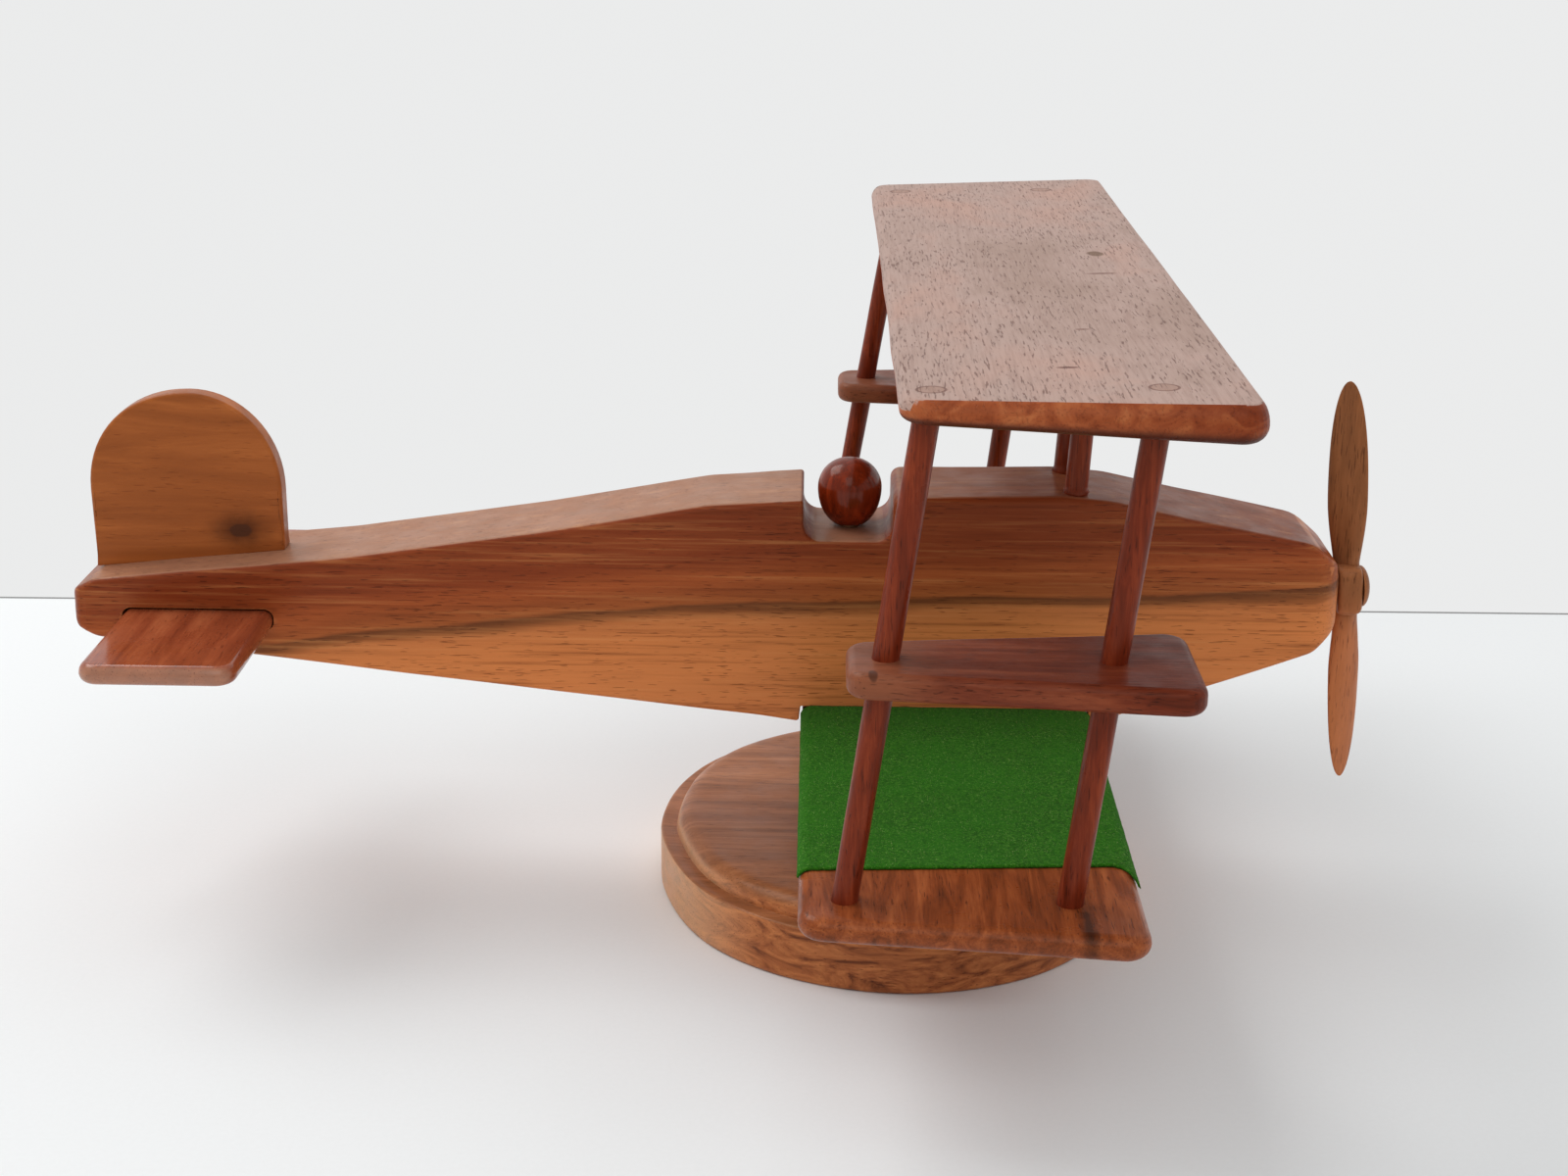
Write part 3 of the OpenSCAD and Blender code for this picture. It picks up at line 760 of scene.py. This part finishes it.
# (inset, height) of each ring: side, ledge, rounded shoulder and top
outline_steps = 180
SHOULDER, SHOULDER_WIDE, SHOULDER_TALL, PLINTH_TOP = 20.4, 6.2, 6.0, 26.45
levels = [(0.8, 0), (0.1, 0.8), (0, 2), (0, 8), (0, 14), (0, 18.6), (0.15, 19.4), (0.6, 19.9),
          (1.3, 20.0), (3.5, 19.9), (5.6, 19.7), (6.0, 19.9), (6.05, SHOULDER)]
for degrees in range(12, 91, 13):
    a = math.radians(degrees)
    levels.append((6.1 + SHOULDER_WIDE * (1 - math.cos(a)), SHOULDER + SHOULDER_TALL * math.sin(a)))
levels += [(inset, PLINTH_TOP) for inset in (14, 20, 32, 48, 66, 78)]
rings = []
for inset, z in levels:
    ring = []
    for k in range(outline_steps):
        a = 2 * math.pi * k / outline_steps
        dent = (0.35 if 5 < inset < 14 else 0.15) * max(0, 1 - inset / 40)
        r = plinth_radius(a, inset)
        r += dent * noise.noise(Vector((5 * math.cos(a), 5 * math.sin(a), inset)))
        ring.append((r * math.cos(a) + BASE_X, r * math.sin(a), z))
    rings.append(ring)
base = loft("plinth_disc", rings, sharp=50)

# Propeller
shaft = frame["record"]["behaviour"]["joints"][0]
SHAFT = Vector(shaft["pos_m"]) * 1000
AXIS = Vector(shaft["axis"]).normalized()
ACROSS = Vector((0, 1, 0))
UP = AXIS.cross(ACROSS)
MID = 154.1
SWEEP = (PROP_HIGH[2] - PROP[2]) / 2
# The blades start inside the hub, widen up to the shoulder and narrow beyond it
BLADE_ROOT, BLADE_SHOULDER, BLADE_CHORD = 3, 34, 15.0


def on_shaft(x, y, rise):
    """A point counted along the propeller's axis, across it and up from it."""
    return tuple(SHAFT + AXIS * (x - SHAFT.x) + ACROSS * y + UP * rise)


def blade_sections(turn, tip):
    """Twisted sections of one blade from the hub to the tip. turn is 1 for the upper blade at rest
    and -1 for the lower one."""
    rings = []
    for k in range(45):
        r = BLADE_ROOT + (tip - BLADE_ROOT - 0.05) * (1 - (1 - k / 44) ** 1.35)
        reach = (r - BLADE_ROOT) / (tip - BLADE_ROOT)
        if r < BLADE_SHOULDER:
            chord = BLADE_CHORD * (1 - 0.34 * ((BLADE_SHOULDER - max(r, 10)) / 24) ** 2)
        else:
            past = (r - BLADE_SHOULDER) / (tip - BLADE_SHOULDER)
            chord = BLADE_CHORD * max(1 - past ** 2.4, 0) ** 0.5
        chord = max(chord, 0.5)
        thick = max(6.0 * (1 - reach) ** 1.2 + 2.6 * (1 - reach ** 4), 0.35)
        pitch = math.radians(40 + 14 * min(1, r / 28) - 2 * reach)
        ring = []
        for j in range(28):
            a = 2 * math.pi * j / 28
            c = chord / 2 * math.copysign(abs(math.cos(a)) ** 0.9, math.cos(a))
            t = thick / 2 * math.sin(a) * (0.75 if math.sin(a) < 0 else 1.0)
            x = MID + c * math.sin(pitch) + t * math.cos(pitch)
            y = -c * math.cos(pitch) + t * math.sin(pitch)
            ring.append(on_shaft(x, turn * y, turn * r))
        rings.append(ring)
    return rings


blades = [loft("blade_a", blade_sections(1, SWEEP + 0.6), body="propeller"),
          loft("blade_b", blade_sections(-1, SWEEP - 1.3), body="propeller")]
# For each ring of the hub: its place along the shaft and its share of the full size
hub_levels = [(150.4, 0.86), (150.9, 0.95), (152.5, 1), (156.4, 1.0), (158.0, 0.95), (158.8, 0.86),
              (159.1, 0.6)]
HUB_WIDE, HUB_TALL = 8.1, 9.2
rings = []
for x, share in hub_levels:
    ring = []
    for k in range(48):
        a = 2 * math.pi * k / 48
        ca, sa = math.cos(a), math.sin(a)
        r = share * (abs(ca) ** 5 + abs(sa) ** 5) ** (-1 / 5)
        chip = 0.25 * noise.noise(Vector((3 * ca, 3 * sa, x / 3)))
        ring.append(on_shaft(x, (HUB_WIDE + chip) * r * ca, (HUB_TALL + chip) * r * sa))
    rings.append(ring)
hub = loft("hub_block", rings, body="propeller", sharp=60)


def peg_ring(x, r, uneven=0.0):
    return ring_round(Vector(on_shaft(x, 0, 0)), ACROSS, UP, r, 40, uneven, 9)


# The peg and its domed cap
PEG_BACK, PEG_R = 140, 2.9
CAP_X, CAP_R, CAP_TALL = 159.4, 7.4, 3.0
rings = [peg_ring(PEG_BACK, PEG_R), peg_ring(CAP_X, PEG_R)]
for degrees in range(0, 91, 9):
    a = math.radians(degrees)
    rings.append(peg_ring(CAP_X + CAP_TALL * math.sin(a), max(CAP_R * math.cos(a), 0.2), 0.12))
peg = loft("peg_and_cap", rings, sharp=50)


# ---- Felt ----

# The felt's outer edge at the trailing edge, and how far it comes in towards the leading edge
FELT_OUT, FELT_IN = 157.2, 6.6
# It runs out again over the last stretch
FLARE_LONG, FLARE_OUT = 9, 11


def felt_edge(x, low, high):
    """Outer edge of the felt at x."""
    y = FELT_OUT - FELT_IN * (x - low) / (high - low)
    lift = max(0, (x - (high - FLARE_LONG)) / FLARE_LONG)
    return y + FLARE_OUT * lift ** 2.2


def felt_sheet(word, side):
    """A thin closed sheet laid over the lower wing and wrapped part of the way round its edges."""
    node = "felt_" + word
    low, high = box(node)
    wing_mid = (LOWER[2] + LOWER_HIGH[2]) / 2
    inner, outer = 4.1, high[2] - wing_mid
    back, front = LOWER[0] + 4, LOWER_HIGH[0] - 4
    line = []
    for k in range(7):
        a = math.radians(156 - 66 * k / 6)
        line.append((back, math.cos(a), math.sin(a)))
    steps = 108
    for k in range(1, steps):
        line.append((back + (front - back) * k / steps, 0, 1))
    for k in range(8):
        a = math.radians(90 - 66 * k / 7)
        line.append((front, math.cos(a), math.sin(a)))
    across = 120
    seam = MIDDLE + 0.25
    points, faces = [], []
    for layer in (outer, inner):
        for i, (cx, nx, nz) in enumerate(line):
            for j in range(across + 1):
                x = cx + nx * layer
                edge = felt_edge(x, low[0], high[0])
                ragged = 0.25 * noise.noise(Vector((x / 1.5, side * 3, 0))) if j == across else 0
                y = seam + (edge + ragged - seam) * j / across
                fuzz = 0.0
                if layer == outer:
                    fuzz = 0.1 * noise.noise(Vector((x / 0.9, y / 0.9, 4)))
                    fuzz += 0.1 * noise.noise(Vector((x / 6, y / 6, 2))) - 0.12
                    if j in (0, across) or i in (0, len(line) - 1):
                        fuzz -= 0.2
                reach = layer + fuzz
                points.append((cx + nx * reach, side * y, wing_mid + nz * reach))
    wide = across + 1
    long = len(line)
    for i in range(long - 1):
        for j in range(across):
            a = i * wide + j
            faces.append((a, a + 1, a + wide + 1, a + wide))
            b = a + long * wide
            faces.append((b, b + wide, b + wide + 1, b + 1))
    rim = [(0, j) for j in range(across)] + [(i, across) for i in range(long - 1)]
    rim += [(long - 1, j) for j in range(across, 0, -1)] + [(i, 0) for i in range(long - 1, 0, -1)]
    rim = [i * wide + j for i, j in rim]
    for a, b in zip(rim, rim[1:] + rim[:1]):
        faces.append((b, a, a + long * wide, b + long * wide))
    return add_mesh("felt_" + word + "_sheet", points, faces, weighted=False)


felts = [felt_sheet(word, side) for word, side in SIDES]


# ---- Materials ----

def streaked(s, colour):
    """The fuselage: orange low down, a dark streak, red-brown above, and a painted sheen on its upward faces.
    """
    x, z = s.axis(0), s.axis(2)
    # The streak's height along the fuselage; the curve's own range is 0 to 1 both ways
    marks = [(-300, 86), (-230, 93.5), (-189, 99.5), (-147, 103.5), (-114, 108), (-71, 111), (-38, 112),
             (23, 115), (108, 118.5), (150, 121)]
    start, long, tall = 300, 500, 200
    spots = [((a + start) / long, b / tall) for a, b in marks]
    rise = s.node("ShaderNodeFloatCurve")
    curve = rise.mapping.curves[0]
    curve.points[0].location, curve.points[1].location = spots[0], spots[-1]
    for a, b in spots[1:-1]:
        curve.points.new(a, b)
    rise.mapping.update()
    s.put(rise.inputs["Value"], s.math("DIVIDE", s.math("ADD", x, start), long))
    level = s.math("MULTIPLY", rise.outputs[0], tall)
    waver = s.noise(s.stretch((0.012, 0.05, 0.1)), 1, 4, 0.6)
    waver = s.math("MULTIPLY", s.math("SUBTRACT", waver, 0.5), 7)
    above = s.math("ADD", s.math("SUBTRACT", z, level), waver)
    bands = s.ramp(s.math("ADD", s.math("DIVIDE", above, 80), 0.5), [
        (0.0, rgb(206, 128, 84)), (0.36, rgb(204, 126, 80)), (0.44, rgb(184, 112, 72)),
        (0.475, rgb(116, 70, 44)), (0.50, rgb(86, 50, 32)), (0.515, rgb(150, 82, 48)),
        (0.56, rgb(138, 70, 40)), (0.62, rgb(150, 74, 42)), (0.7, rgb(118, 48, 25)), (1.0, rgb(108, 42, 22))])
    fine = s.noise(s.stretch((0.012, 0.2, 0.55), (3, 1, 7)), 1, 4, 0.65, 0.2)
    bands = s.mix(s.step(fine, 0.5, 0.75, 0, 0.5), bands, rgb(92, 44, 26), "MULTIPLY")
    bands = s.mix(s.step(fine, 0.5, 0.25, 0, 0.3), bands, rgb(214, 150, 104))
    bands = s.mix(0.22, bands, colour)
    # Upward faces are paled towards pinkish grey, more towards the tail: painted sheen of window light on the
    # top.
    painted_sheen = s.math("MULTIPLY", s.step(s.facing(2), 0.8, 0.96), s.step(x, 60, -60, 0.1, 0.42))
    return s.mix(painted_sheen, bands, rgb(184, 150, 138))


def knotted(centre, size, dark, wobble=0.3):
    """Paints a dark knot with a soft halo round it."""
    def paint(s, colour):
        halo = s.blob(centre, [v * 2.6 for v in size], wobble)
        core = s.blob(centre, size, wobble)
        colour = s.mix(s.math("MULTIPLY", halo, 0.75), colour, dark, "MULTIPLY")
        return s.mix(s.step(core, 0.2, 0.45, 0, 0.85), colour, dark)
    return paint


def cracked(s, colour):
    """A dark crack across each end of the lower wing."""
    for y in (-190, 190):
        colour = knotted((45, y, 74), (1.5, 13, 9), rgb(60, 30, 20), 0.9)(s, colour)
    return colour


def end_grain(s, colour):
    """The plinth's side: pale and orange, with swirling dark lines."""
    swirl = s.noise(s.stretch((0.03, 0.03, 0.09), (2, 6, 4)), 1, 5, 0.65, 3.0)
    side = s.ramp(swirl, [(0.32, rgb(88, 46, 30)), (0.46, rgb(138, 80, 52)), (0.62, rgb(166, 104, 68))])
    side = s.mix(s.step(s.axis(0), -48, -84, 0, 0.6), side, rgb(196, 158, 134))
    return s.mix(s.step(s.facing(2), 0.75, 0.35), colour, side)


fuselage_wood = wood("fuselage_wood", 0, (rgb(96, 44, 26), rgb(134, 66, 38), rgb(176, 100, 60)),
                     band=0.1, pores=0.35, rough=0.4, coat=0.08, stain=(1.25, 1.2, 0.9),
                     extra=streaked, edge_wear_and_highlight=rgb(190, 120, 80))
wing_wood = wood("lower_wing_wood", 1, (rgb(84, 42, 26), rgb(126, 66, 42), rgb(158, 92, 62)),
                band=0.16, shift=(4, 2, 9), pores=0.4, rough=0.33, coat=0.14, stain=(1.2, 1.05, 0.7),
                warp=1.2, extra=cracked)


def bare_top():
    """The top wing: rubbed bare and greyish above, varnished on its edges and below, with painted shade on
    the faces turned down.
    """
    s = Shader("top_wing_wood")
    x = s.axis(0)
    patch = s.noise(s.stretch((0.018, 0.009, 0.02)), 1, 4, 0.6, 0.3)
    bare = s.ramp(patch, [(0.34, rgb(168, 140, 128)), (0.5, rgb(182, 154, 144)), (0.66, rgb(190, 152, 138))])
    fibres = s.noise(s.stretch((1.0, 0.05, 1)), 1, 4, 0.65)
    bare = s.mix(s.step(fibres, 0.4, 0.75, 0, 0.4), bare, rgb(128, 92, 80))
    dashes = s.noise(s.stretch((1.5, 0.13, 1.5), (2, 5, 1)), 1, 2, 0.55, 0.1)
    spread = s.noise(s.stretch((0.02, 0.02, 0.02), (7, 3, 3)), 1, 2)
    dashes = s.step(s.math("ADD", dashes, s.math("MULTIPLY", spread, 0.18)), 0.68, 0.77)
    bare = s.mix(s.math("MULTIPLY", dashes, 0.7), bare, rgb(102, 62, 50))
    grain = s.noise(s.stretch((0.12, 0.014, 0.2), (1, 1, 1)), 1, 5, 0.6, 0.8)
    varnish_and_shade = s.ramp(grain, [(0.3, rgb(128, 58, 34)), (0.5, rgb(160, 84, 54)), (0.7, rgb(184, 110, 74))])
    marks = (((62.8, 27, 227), (4, 7, 3), rgb(112, 80, 56)),
             ((60.7, -10.3, 227), (7.5, 1.4, 3), rgb(100, 52, 40)),
             ((35.6, -150.9, 226.8), (4.6, 1.5, 3), rgb(104, 58, 46)),
             ((45, -100, 226), (3.5, 1.2, 3), rgb(112, 66, 52)))
    for centre, size, dark in marks:
        spot = s.step(s.blob(centre, size, 0.5), 0.05, 0.4)
        bare = s.mix(s.math("MULTIPLY", spot, 0.9), bare, dark)
    for u, v, level in strut_tops:
        end = s.blob((u, v, level), (8, 8, 8))
        ring = s.math("MULTIPLY", s.step(end, 0.40, 0.46), s.step(end, 0.62, 0.54))
        bare = s.mix(s.math("MULTIPLY", s.step(end, 0.46, 0.54), 0.45), bare, rgb(150, 108, 88))
        bare = s.mix(s.math("MULTIPLY", ring, 0.75), bare, rgb(104, 62, 50))
    rag = s.noise(s.stretch((0.12, 0.12, 0.12)), 1, 4)
    up = s.math("ADD", s.facing(2), s.math("MULTIPLY", s.math("SUBTRACT", rag, 0.5), 0.3))
    up = s.math("ADD", up, s.math("MULTIPLY", s.step(s.facing(0), -0.2, -0.8), 0.75))
    mask = s.step(up, 0.86, 0.93)
    # Faces turned down get darker: painted shade on the underside.
    varnish_and_shade = s.mix(s.step(s.facing(2), 0.0, -0.75), varnish_and_shade, rgb(84, 40, 30))
    varnish_and_shade = s.mix(1, varnish_and_shade, (1.0, 0.93, 0.72, 1), "MULTIPLY")
    varnish_and_shade = s.mix(s.step(x, 35, 85), varnish_and_shade, (0.66, 0.5, 0.45, 1), "MULTIPLY")
    bare = s.mix(1, bare, (0.94, 0.92, 0.9, 1), "MULTIPLY")
    colour = s.mix(mask, varnish_and_shade, bare)
    height = s.math("SUBTRACT", s.math("MULTIPLY", fibres, 0.4), s.math("MULTIPLY", dashes, 1.0))
    return s.finish(colour, s.step(mask, 0, 1, 0.38, 0.5), height, 0.14, 0.06, 0.35)


top_wood = bare_top()


def strip_tones(s, colour):
    """The strips: greyish to the rear, purple-brown to the front, with a dark spot at the right tip."""
    x = s.axis(0)
    rear = s.step(x, -26, 14)
    colour = s.mix(s.step(rear, 0, 1, 0.55, 0), colour, rgb(142, 104, 90))
    colour = s.mix(s.step(x, 25, 62, 0, 0.85), colour, (0.8, 0.55, 0.42, 1), "MULTIPLY")
    spot = s.blob((-18, -189, 149), (2.2, 5, 4), 0.6)
    return s.mix(s.step(spot, 0.2, 0.6, 0, 0.7), colour, rgb(52, 30, 26))


strip_wood = wood("strip_wood", 0, (rgb(78, 38, 32), rgb(112, 60, 48), rgb(138, 84, 68)),
                  band=0.18, shift=(1, 8, 3), pores=0.5, rough=0.42, coat=0.07,
                  stain=(1.05, 0.75, 0.5), extra=strip_tones)


def rod_ends(s, colour):
    """Sawn ends show paler end grain."""
    return s.mix(s.step(s.facing(2), 0.9, 0.98), colour, rgb(176, 138, 108))


rod_wood = wood("dowel_wood", 2, (rgb(84, 34, 20), rgb(112, 48, 30), rgb(140, 70, 46)),
                band=0.35, shift=(2, 2, 5), pores=0.45, rough=0.34, coat=0.12,
                stain=(1.05, 0.72, 0.5), extra=rod_ends)
head_wood = wood("head_wood", 2, (rgb(60, 22, 13), rgb(86, 34, 20), rgb(112, 50, 32)),
                 band=0.3, pores=0.3, rough=0.28, coat=0.3, coat_rough=0.12,
                 stain=(1.95, 1.1, 0.5), bump=0.05)
fin_knot = knotted((-236.9, -4.5, 130.9), (6.0, 8, 3.9), rgb(70, 42, 30))
fin_wood = wood("fin_wood", 0, (rgb(132, 78, 42), rgb(150, 91, 50), rgb(170, 108, 62)),
                band=0.04, shift=(5, 5, 5), pores=0.1, pore_dark=0.3, rough=0.36, coat=0.1,
                stain=(1.15, 0.9, 0.65), warp=3.2, fibre=0.08, edge_wear_and_highlight=rgb(200, 150, 110), extra=fin_knot)


def tip_end_grain_and_highlight(s, colour):
    """The tips' end faces are paler: partly varnished end grain, partly a painted highlight."""
    end = s.step(s.math("ABSOLUTE", s.facing(1)), 0.35, 0.8, 0, 0.32)
    return s.mix(end, colour, rgb(186, 150, 134))


plane_wood = wood("tailplane_wood", 1, (rgb(104, 40, 24), rgb(140, 64, 40), rgb(168, 88, 58)),
                  band=0.12, shift=(3, 1, 1), pores=0.25, rough=0.27, coat=0.6, coat_rough=0.12,
                  stain=(1.15, 1.25, 1.1), edge_wear_and_highlight=rgb(190, 140, 116), extra=tip_end_grain_and_highlight)
base_wood = wood("plinth_wood", 0, (rgb(106, 66, 46), rgb(138, 88, 62), rgb(160, 108, 80)),
                 band=0.045, shift=(9, 3, 6), pores=0.35, rough=0.4, coat=0.16,
                 stain=(1.5, 1.45, 1.15), warp=2.6, turn=(0, 0, 0.5), extra=end_grain)


def tone_by_height(s, colour):
    """The propeller: orange below a height of 92 mm and olive-brown above 118 mm, blended between."""
    z = s.axis(2)
    tone = s.mix(s.step(z, 92, 118), rgb(178, 108, 70), rgb(122, 80, 52))
    return s.mix(0.6, colour, tone)


prop_wood = wood("propeller_wood", 2, (rgb(96, 54, 34), rgb(136, 84, 54), rgb(170, 108, 72)),
                 band=0.25, pores=0.5, rough=0.42, coat=0.05, stain=(1.3, 1.2, 1.05), extra=tone_by_height)
# The hidden pieces
post_wood = wood("post_wood", 2, (rgb(84, 42, 26), rgb(112, 58, 36), rgb(140, 80, 52)), band=0.2)
plain_wood = wood("plain_wood", 2, (rgb(170, 128, 88), rgb(196, 156, 112), rgb(214, 176, 134)),
                  band=0.3, rough=0.6, coat=0)


def felt_cloth():
    s = Shader("green_felt")
    cloud = s.noise(s.stretch((0.04, 0.04, 0.04)), 1, 3)
    tuft = s.noise(s.stretch((1.1, 1.1, 1.1)), 1, 3, 0.7, 0.6)
    hair = s.noise(s.stretch((2.8, 0.8, 2), (1, 2, 3), (0, 0, 0.6)), 1, 2, 0.6, 1.5)
    colour = s.ramp(tuft, [(0.3, rgb(24, 68, 8)), (0.5, rgb(42, 105, 16)), (0.66, rgb(70, 132, 34)),
                           (0.76, rgb(140, 176, 98))])
    colour = s.mix(s.step(cloud, 0.35, 0.65, 0.0, 0.35), colour, rgb(40, 118, 14))
    colour = s.mix(s.step(hair, 0.62, 0.72, 0, 0.8), colour, rgb(150, 176, 104))
    height = s.math("ADD", tuft, s.math("MULTIPLY", hair, 0.6))
    return s.finish(colour, 0.95, height, 0.5, sheen=0.04, shine=0.05)


felt_green = felt_cloth()

dress(lower_wing, wing_wood, "wing_wood", "lower_wing")
dress(top_wing, top_wood, "top_wing_wood", "top_wing")
for piece, (word, _) in zip(strips, SIDES):
    dress(piece, strip_wood, "strip_wood", "strut_strip_" + word)
for node, rod in struts:
    dress(rod, rod_wood, "dowel_wood", node)
dress(fuselage, fuselage_wood, "fuselage_wood", "fuselage")
dress(head, head_wood, "head_wood", "pilot_head")
dress(fin, fin_wood, "fin_wood", "tail_fin")
dress(tailplane, plane_wood, "tailplane_wood", "tailplane")
dress(base, base_wood, "plinth_wood", "base")
for piece in blades:
    dress(piece, prop_wood, "propeller_wood", "propeller")
dress(hub, prop_wood, "propeller_wood")
dress(peg, prop_wood, "propeller_wood", "propeller_peg")
for piece, (word, _) in zip(felts, SIDES):
    dress(piece, felt_green, "green_felt", "felt_" + word)
for node in ("stand_post", "wing_dowel_rear", "wing_dowel_front", "pilot_peg", "fin_dowel_rear",
             "fin_dowel_front"):
    carried = frame["nodes"][node].data.materials
    carried.clear()
    carried.append(post_wood if node == "stand_post" else plain_wood)


# ---- Floor ----

def paper(name, tint):
    s = Shader(name)
    tooth = s.noise(s.stretch((0.6, 0.6, 0.6)), 1, 3)
    colour = s.mix(s.step(tooth, 0.3, 0.7, 0, 0.04), tint, (0.6, 0.6, 0.59, 1))
    return s.finish(colour, 0.9, tooth, 0.02)


def flat(name, corners, material):
    piece = bpy.data.meshes.new(name)
    piece.from_pydata(corners, [], [tuple(range(len(corners)))])
    piece.materials.append(material)
    made = bpy.data.objects.new(name, piece)
    scene.collection.objects.link(made)


# The floor's back edge, in metres: its y straight behind the origin, and its slope
BACK = 0.3088
TILT = 0.0098 / 0.78
REACH = 4
EDGE = 0.0012


def back_edge(x):
    return BACK + TILT * x


far_left, far_right = back_edge(-REACH), back_edge(REACH)
flat("floor", [(-REACH, -REACH, 0), (REACH, -REACH, 0), (REACH, far_right, 0), (-REACH, far_left, 0)],
     paper("floor_paper", (0.86, 0.878, 0.885, 1)))
# A thin grey line along the floor's back edge
flat("floor_edge", [(-REACH, far_left, -0.0006), (REACH, far_right, -0.0006),
                    (REACH, far_right + EDGE, 0.0004), (-REACH, far_left + EDGE, 0.0004)],
     paper("edge_grey", (0.32, 0.32, 0.32, 1)))
